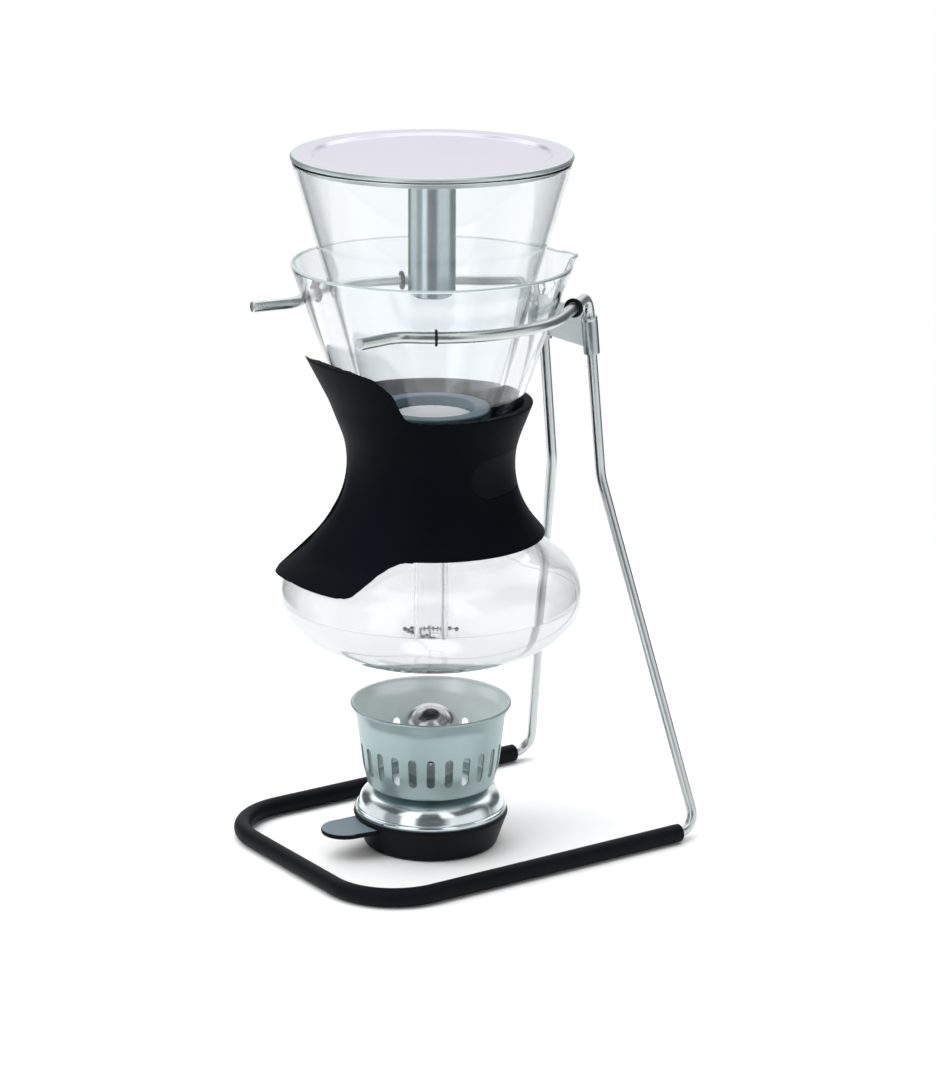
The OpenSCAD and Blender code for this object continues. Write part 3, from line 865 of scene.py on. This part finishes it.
def filter_cloth():
    """A disc of cloth that puckers a little towards its edge and dips in the middle of its top."""
    made = lathe("filter_cloth_disc", dense([
        (0, FILTER_LOW_Z), (20.6, FILTER_LOW_Z), (CLOTH_R, 218.0), (20.6, 218.45), (20.2, 218.75),
        (19.6, CLOTH_TOP_Z), (0, CLOTH_TOP_Z)], 0.8), 160)
    for v in made.data.vertices:
        r, a = math.hypot(v.co.x, v.co.y) / MM, math.atan2(v.co.y, v.co.x)
        if v.co.z / MM > 218.3:
            pucker = swell((r - 13) / 7) * 0.12 * math.sin(a * 26)
            v.co.z += (pucker - 0.1 * swell((r - 6) / 12)) * MM
    return made


cloth = dress(filter_cloth(), "filter_cloth")


def coil_path(steps=24):
    end_gap = 0.45
    low, high = bottom_of("filter_spring") + end_gap, top_of("filter_spring") - end_gap
    shares = [i / (COILS * steps) for i in range(COILS * steps + 1)]
    return [beside(2 * math.pi * COILS * s, COIL_R, low + (high - low) * s) for s in shares]


dress(bar("filter_coil_spring", coil_path(), COIL_WIRE_R, sides=10, edge=0.1), "filter_spring")

HOOK_OUT = STEM_R + 1.4            # the hook's free end, just outside the stem
HOOK_UNDER_Z = STEM_END_Z - 2.2


def hook_path():
    """A wire down inside the stem, round under its edge, and up outside it."""
    top_r, top_z, wire_r = 4, 179.2, STEM_R - 2.6
    lean_h, steps = 24, 12
    foot_r, foot_turn, foot_out = wire_r + 1.5, HOOK_WIRE_TURN + 0.2, 1.2
    corner_r, rise = 0.9, 6
    path = [beside(HOOK_WIRE_TURN, top_r + (wire_r - top_r) * swell(k / steps), top_z - lean_h * k / steps)
            for k in range(steps + 1)]
    path += bent_path([beside(HOOK_WIRE_TURN, wire_r, top_z - lean_h - 1.2),
                       beside(HOOK_WIRE_TURN, wire_r, HOOK_UNDER_Z),
                       beside(foot_turn, foot_r, HOOK_UNDER_Z)], [corner_r], gap=4.0, step=12.0)[1:]
    path += [beside(foot_turn + (HOOK_TURN - foot_turn) * k / 20, foot_r + foot_out * k / 20, HOOK_UNDER_Z)
             for k in range(1, 20)]
    path += bent_path([beside(HOOK_TURN, foot_r + foot_out, HOOK_UNDER_Z),
                       beside(HOOK_TURN, HOOK_OUT, HOOK_UNDER_Z),
                       beside(HOOK_TURN, HOOK_OUT, HOOK_UNDER_Z + rise)], [corner_r], gap=4.0, step=12.0)
    return path


dress(bar("filter_pull_hook", hook_path(), HOOK_WIRE_R, sides=14, edge=0.25), "filter_hook")


def floor_z(r):
    """The height of the floor inside the flask, above a wall as thick as in the CAD model."""
    if r < BELLY_IN:
        return FLASK_FLOOR_Z + WALL
    share = (r - BELLY_IN) / (FLASK_R - BELLY_IN - WALL)
    return BELLY_Z - (BELLY_Z - FLASK_FLOOR_Z - WALL) * math.sqrt(1 - share * share)


def bead_at(k):
    """The beads go straight out to the loop, and then along it. The first one hangs a little higher."""
    start, loop = beside(HOOK_TURN, HOOK_OUT, 0), beside(LOOP_TURN, LOOP_R, 0)
    if k < BEADS_TO_LOOP:
        p = start + (loop - start) * (k + 1) / (BEADS_TO_LOOP + 1)
    else:
        p = beside(LOOP_TURN - (k - BEADS_TO_LOOP) * BEAD_PITCH / LOOP_R, LOOP_R, 0)
    p.z = floor_z(p.length) + BEAD_R + 0.1 + (1.6 if k == 0 else 0)
    return p


def bead_chain():
    bm = bmesh.new()
    beads = [bead_at(k) for k in range(BEADS)]
    for p in beads:
        sphere = bmesh.ops.create_icosphere(bm, subdivisions=3, radius=BEAD_R * MM)
        bmesh.ops.translate(bm, verts=sphere["verts"], vec=p * MM)
    hook_end = beside(HOOK_TURN, HOOK_OUT, STEM_END_Z - 3.3)
    for a, b in zip([hook_end] + beads, beads):
        sweep(bm, [a, a.lerp(b, 0.35), a.lerp(b, 0.65), b], CHAIN_WIRE_R, sides=10, edge=0.1)
    return object_from("pull_bead_chain", bm)


dress(bead_chain(), "bead_chain")


# ------------------------ lid

LID_LIP_R, LID_LIP_IN, LID_LIP_Z = 63.4, 62.5, LID_SEAT - 2.9
dress(lathe("lid_plate", rounded([
    (0, LID_TOP - 1.4), (56.0, LID_TOP - 1.4, 0.8), (57.6, LID_TOP - 0.1, 0.6), (66.8, LID_TOP, 0.7),
    (LID_R, LID_TOP - 1.0, 0.3), (LID_R, LID_SEAT + 0.5, 0.4), (66.9, LID_SEAT, 0.3),
    (LID_LIP_R, LID_SEAT, 0.3), (LID_LIP_R, LID_LIP_Z, 0.3), (LID_LIP_IN, LID_LIP_Z, 0.3),
    (LID_LIP_IN, LID_SEAT - 0.4, 0.4), (0, LID_SEAT - 0.4)]), 220), "lid_disc")

TUBE_BEAD_R = TUBE_R + 0.35
dress(lathe("lid_stand_tube", dense(rounded([
    (TUBE_BORE_R, TUBE_LOW, 0.3), (TUBE_BEAD_R, TUBE_LOW, 0.45), (TUBE_BEAD_R, TUBE_LOW + 1.3, 0.35),
    (TUBE_R, TUBE_LOW + 1.8, 0.3), (TUBE_R, TUBE_HIGH), (TUBE_BORE_R, TUBE_HIGH),
    (TUBE_BORE_R, TUBE_LOW + 5)]), 6.0), 128), "lid_tube")


# ------------------------ burner

dress(lathe("burner_cup", dense(rounded([
    (0, 0.05), (33, 0.05, 1.6), (38.45, 15.4, 1.2), (37.9, 17.1, 0.4), (36.9, 17.1, 0.3), (36.6, 16.4, 0.3),
    (31.4, 3.2, 0.6), (0, 3.2)]), 4.0), 180), "burner_foot")


def cup_tab():
    """A lifting tab with a round end, softened edges and a slightly raised border."""
    low, high = 12.0, 14.5
    root = math.asin(TAB_R / TAB_ROOT_R)
    end_angles = [-math.pi / 2 + math.pi * k / 40 for k in range(41)]
    round_end = [(TAB_X + TAB_R * math.cos(a), TAB_R * math.sin(a)) for a in end_angles]
    root_angles = [root - 2 * root * k / 14 for k in range(15)]
    root_edge = [(TAB_ROOT_R * math.cos(a), TAB_ROOT_R * math.sin(a)) for a in root_angles]
    bm = bmesh.new()
    loops = []
    for inset, z in ((0.9, low), (0.25, low + 0.2), (0, low + 0.8), (0, high - 0.8), (0.25, high - 0.2),
                     (0.9, high), (2.6, high - 0.12), (4.5, high - 0.15)):
        shrink = 1 - inset / TAB_R
        level = [(TAB_X + (x - TAB_X) * shrink, y * shrink, z) for x, y in round_end]
        level += [(x, y, z) for x, y in root_edge]
        loops.append([bm.verts.new(Vector(p) * MM) for p in level])
    bridge_all(bm, loops)
    for loop in (loops[0], loops[-1]):
        bm.faces.new(loop)
    tab = object_from("burner_cup_tab", bm, 50)
    tab.data.transform(Matrix.Rotation(TAB_TURN, 4, "Z"))
    return tab


dress(cup_tab(), "burner_foot", stands_for=False)

dress(lathe("fuel_tank", dense(rounded([
    (0, 3.3), (31, 3.3, 1.5), (36, 16.8, 0.4), (37.4, 17.35, 0.4), (37.6, 18.3, 0.35), (37.2, 19.1, 0.3),
    (36.4, 19.5, 0.8), (34.4, 26.0, 8), (24.5, 30.2, 7), (12.2, 30.2), (12.2, 29.5), (24.3, 29.5, 6.3),
    (34.2, 25.3, 7.3), (36.0, 19.2, 0.5), (36.9, 18.6, 0.3), (35.3, 17, 0.4), (30.4, 4, 1),
    (0, 4)]), 2.5), 220), "fuel_reservoir")

dress(lathe("wick_collar", rounded([
    (5.1, 25), (12, 25), (12, 30.25), (14.4, 30.25, 0.3), (14.4, 45.1, 0.5), (12.9, 45.1, 0.2),
    (12.9, 49.7, 0.8), (6.6, 49.7, 0.8), (6.6, 56.2, 0.5), (5.1, 56.2, 0.4), (5.1, 50)]), 96), "wick_holder")


def dome(r):
    """The outline of a dome under the cap's top, from its foot to just short of the axis."""
    centre_z = CAP_TOP - CAP_R
    angles = [math.radians(a) for a in range(0, 90, 3)]
    return [(r * math.cos(a), centre_z + r * math.sin(a)) for a in angles]


cap_outline = [(CAP_R, CAP_LOW + 1.2)] + dome(CAP_R) + [(0, CAP_TOP), (0, CAP_TOP - CAP_WALL)]
cap_outline += dome(CAP_R - CAP_WALL)[::-1]
cap_outline += [(CAP_R - CAP_WALL, CAP_LOW + 0.3), (CAP_R - 0.7, CAP_LOW), (CAP_R - 0.2, CAP_LOW + 0.1),
                (CAP_R, CAP_LOW + 0.5)]
dress(lathe("snuffer_dome", dense(cap_outline, 3.0), 128, 60), "snuffer_cap")


# ------------------------ windshield with its air slots

# The slots are cut in one band of the wall, whose mesh has ACROSS x DOWN cells for each slot.
ZONE_LOW, ZONE_HIGH = SLOT_LOW - 1.0, SLOT_HIGH + 1.0
ACROSS, DOWN = 8, 12
COLUMNS = SLOTS_ROUND * ACROSS
COLUMN_TURN = 2 * math.pi / COLUMNS
SHIELD_OUT = dense(rounded([(22.0, 30.6), (31.3, 30.6, 2.2), (34, 41.2, 30), (36.8, 65.7, 14),
                            (39.0, 71.1)]), 1.6)
SHIELD_IN = dense(rounded([(22.0, 31.4), (30.6, 31.4, 1.6), (33.1, 41.3, 30), (35.9, 65.9, 14),
                           (38.2, 71.3)]), 1.6)
RIM_CENTRE, RIM_BEAD_R = Vector((39.0, 71.9)), 0.85
ROLLED_RIM = [RIM_CENTRE + RIM_BEAD_R * Vector((math.cos(math.radians(a)), math.sin(math.radians(a))))
              for a in range(-75, 196, 18)]


def four_sides(top, right, bottom, left):
    """Points clockwise round a slot from its upper left: each side is a function of the share along it."""
    points = []
    for side, cells in ((top, ACROSS), (right, DOWN), (bottom, ACROSS), (left, DOWN)):
        points += [side(k / cells) for k in range(cells)]
    return points


def frame_round(left, right):
    """The (turn, z) points of the patch of wall round one slot."""
    return four_sides(
        lambda t: (left + (right - left) * t, ZONE_HIGH),
        lambda t: (right, ZONE_HIGH + (ZONE_LOW - ZONE_HIGH) * t),
        lambda t: (right + (left - right) * t, ZONE_LOW),
        lambda t: (left, ZONE_LOW + (ZONE_HIGH - ZONE_LOW) * t))


def slot_round():
    """The (offset, z) points of one slot's edge: two straight sides and two half circles."""
    half = SLOT_WIDTH / 2
    upper, lower = SLOT_HIGH - half, SLOT_LOW + half
    return four_sides(
        lambda t: (-half * math.cos(math.pi * t), upper + half * math.sin(math.pi * t)),
        lambda t: (half, upper + (lower - upper) * t),
        lambda t: (half * math.cos(math.pi * t), lower - half * math.sin(math.pi * t)),
        lambda t: (-half, lower + (upper - lower) * t))


class Shield:
    """The cup's mesh. Pieces of wall that meet share their points, found again by wall and place."""

    def __init__(self):
        self.bm = bmesh.new()
        self.seen = {}

    def point(self, wall, turn, r, z):
        key = (wall, round(turn % (2 * math.pi), 6) % round(2 * math.pi, 6), round(z, 5), round(r, 4))
        if key not in self.seen:
            self.seen[key] = self.bm.verts.new((r * math.cos(turn) * MM, r * math.sin(turn) * MM, z * MM))
        return self.seen[key]

    def ring(self, wall, r, z):
        start = FIRST_SLOT - COLUMN_TURN * ACROSS / 2
        return [self.point(wall, start + COLUMN_TURN * i, r, z) for i in range(COLUMNS)]

    def plain_wall(self, wall, outline, slope):
        """The wall below and above the slots."""
        below = [p for p in outline if p[1] < ZONE_LOW - 0.3] + [(radius_at(slope, ZONE_LOW), ZONE_LOW)]
        above = [(radius_at(slope, ZONE_HIGH), ZONE_HIGH)] + [p for p in outline if p[1] > ZONE_HIGH + 0.3]
        for stretch in (below, above):
            bridge_all(self.bm, [self.ring(wall, r, z) for r, z in stretch])

    def patch(self, wall, slope, centre):
        """The wall round one slot. Returns the slot's edge."""
        reach = COLUMN_TURN * ACROSS / 2
        around = frame_round(centre - reach, centre + reach)
        edge = [(centre + math.asin(offset / radius_at(slope, z)), z) for offset, z in slot_round()]
        between = [(t * 0.4 + u * 0.6, z * 0.4 + v * 0.6) for (t, z), (u, v) in zip(around, edge)]
        border = [self.point(wall, t, radius_at(slope, z), z) for t, z in around]
        hole = [self.point(wall + "_hole", t, radius_at(slope, z), z) for t, z in edge]
        middle = [self.point(wall + "_mid", t, radius_at(slope, z), z) for t, z in between]
        bridge_all(self.bm, [border, middle, hole])
        return hole


def windshield():
    shield = Shield()
    walls = [(wall, outline, outline[3:]) for wall, outline in (("out", SHIELD_OUT), ("in", SHIELD_IN))]
    for wall, outline, slope in walls:
        shield.plain_wall(wall, outline, slope)
    rims = [("out", *SHIELD_OUT[-1])] + [("lip", r, z) for r, z in ROLLED_RIM] + [("in", *SHIELD_IN[-1])]
    bridge_all(shield.bm, [shield.ring(*rim) for rim in rims])
    bridge(shield.bm, shield.ring("out", *SHIELD_OUT[0]), shield.ring("in", *SHIELD_IN[0]))
    for s in range(SLOTS_ROUND):
        centre = FIRST_SLOT + 2 * math.pi * s / SLOTS_ROUND
        bridge_all(shield.bm, [shield.patch(wall, slope, centre) for wall, outline, slope in walls])
    return object_from("burner_windshield", shield.bm, 35)


dress(windshield(), "windshield")


# ------------------------ floor and lights

def paper_floor():
    bm = bmesh.new()
    bmesh.ops.create_circle(bm, cap_ends=True, segments=128, radius=0.62)
    sheet = object_from("floor", bm)
    sheet.location = (0, 0, -0.0003)
    sheet.data.materials.append(material("floor_paper", (0.82, 0.82, 0.82), 0.9, spread=0.004, grain=300.0,
                                         rough_spread=0.02, specular=0.1))


def area_light(name, place, target, size, power):
    """A square light that reflections and glass don't show."""
    lamp = bpy.data.lights.new(name, "AREA")
    lamp.shape = "RECTANGLE"
    lamp.size = size
    lamp.size_y = size
    lamp.energy = power
    made = bpy.data.objects.new(name, lamp)
    scene.collection.objects.link(made)
    made.location = place
    made.rotation_euler = (Vector(target) - Vector(place)).to_track_quat("-Z", "Y").to_euler()
    made.visible_glossy = False
    made.visible_transmission = False


paper_floor()
area_light("key", place=(-1.3, 0.4, 1.5), target=(0, 0, 0.15), size=1.4, power=24)
area_light("top", place=(0.2, 0.1, 2.0), target=(0, 0, 0.1), size=1.8, power=24)


# ------------------------ studio

# The studio round the object: white paper behind it, dark gaps on both sides of that, softboxes beside the
# camera and a broken ring of softboxes higher up. A stop is (share of the way round, brightness), and the
# share is 0 and 1 at the camera and 0.5 behind the object.
DARK, DIM, WHITE, LAMP = 0.13, 0.4, 1.0, 1.6
LOW_RING = [(0.0, DARK), (0.05, DARK), (0.1, WHITE), (0.23, WHITE), (0.29, DARK), (0.41, DARK), (0.45, WHITE),
            (0.55, WHITE), (0.585, DARK), (0.645, DARK), (0.69, WHITE), (0.77, WHITE), (0.8, DIM),
            (0.86, DIM), (0.88, LAMP), (0.92, LAMP), (0.95, DARK), (1.0, DARK)]
HIGH_RING = [(0.0, DARK), (0.045, DARK), (0.065, LAMP), (0.11, LAMP), (0.13, DARK), (0.3, DARK), (0.38, LAMP),
             (0.62, LAMP), (0.67, DIM), (0.74, DARK), (0.83, DARK), (0.855, LAMP), (0.935, LAMP),
             (0.955, DARK), (1.0, DARK)]


def ring_of_light(n, share, stops):
    """Light and dark round the object. The dark stretches are a little bluer."""
    ramp = n.add("ShaderNodeValToRGB")
    ramp.color_ramp.interpolation = "EASE"
    elements = ramp.color_ramp.elements
    while len(elements) < len(stops):
        elements.new(0.5)
    for element, (position, value) in zip(elements, stops):
        element.position = position
        red, blue = (0.94, 1.05) if value < 0.5 else (1.0, 1.01)
        element.color = (value * red, value, value * blue, 1)
    n.put(share, ramp.inputs[0])
    return ramp.outputs[0]


def studio_world():
    """The camera sees white. What shines sees the rings of light, softened where glass is looked through."""
    world = bpy.data.worlds.new("studio")
    scene.world = world
    n = empty_nodes(world)
    x, y, z = n.parts(n.add("ShaderNodeTexCoord").outputs["Generated"])
    turn = n.math("SUBTRACT", n.math("ARCTAN2", y, x), HEADING)
    share = n.math("FRACT", n.math("ADD", n.math("DIVIDE", turn, 2 * math.pi), 0.5))
    low, high = ring_of_light(n, share, LOW_RING), ring_of_light(n, share, HIGH_RING)
    rings = n.blend(n.span(z, 0.38, 0.56), low, high)
    studio = n.blend(n.span(z, 0.82, 0.95), rings, (1.5, 1.5, 1.5, 1))
    path = n.add("ShaderNodeLightPath")
    softer = n.blend(0.6, studio, (0.95, 1.0, 0.995, 1))
    unreflected = n.span(path.outputs["Glossy Depth"], 0.2, 0.8, 1.0, 0.15)
    looked_through = n.math("MULTIPLY", path.outputs["Is Transmission Ray"], unreflected)
    studio = n.blend(looked_through, studio, softer)
    seen = n.blend(path.outputs["Is Camera Ray"], studio, (1.0, 1.0, 1.0, 1))
    background = n.add("ShaderNodeBackground")
    background.inputs[1].default_value = 1.0
    n.put(seen, background.inputs[0])
    n.put(background.outputs[0], n.add("ShaderNodeOutputWorld").inputs[0])


studio_world()


# ------------------------ camera

def photo_camera():
    data = bpy.data.cameras.new("camera")
    data.lens, data.sensor_width = LENS, SENSOR
    data.clip_start, data.clip_end = 0.05, 60
    camera = bpy.data.objects.new("camera", data)
    scene.collection.objects.link(camera)
    scene.camera = camera
    forward = beside(HEADING, math.cos(PITCH), -math.sin(PITCH))
    level = Vector((math.sin(HEADING), -math.cos(HEADING), 0))
    upward = level.cross(forward)
    right = level * math.cos(ROLL) + upward * math.sin(ROLL)
    above = upward * math.cos(ROLL) - level * math.sin(ROLL)
    turned = Matrix((right, above, -forward)).transposed().to_4x4()
    camera.matrix_world = Matrix.Translation(CAMERA_PLACE) @ turned


photo_camera()
scene.view_settings.view_transform = "Standard"
scene.cycles.max_bounces = 24
scene.cycles.transmission_bounces = 24
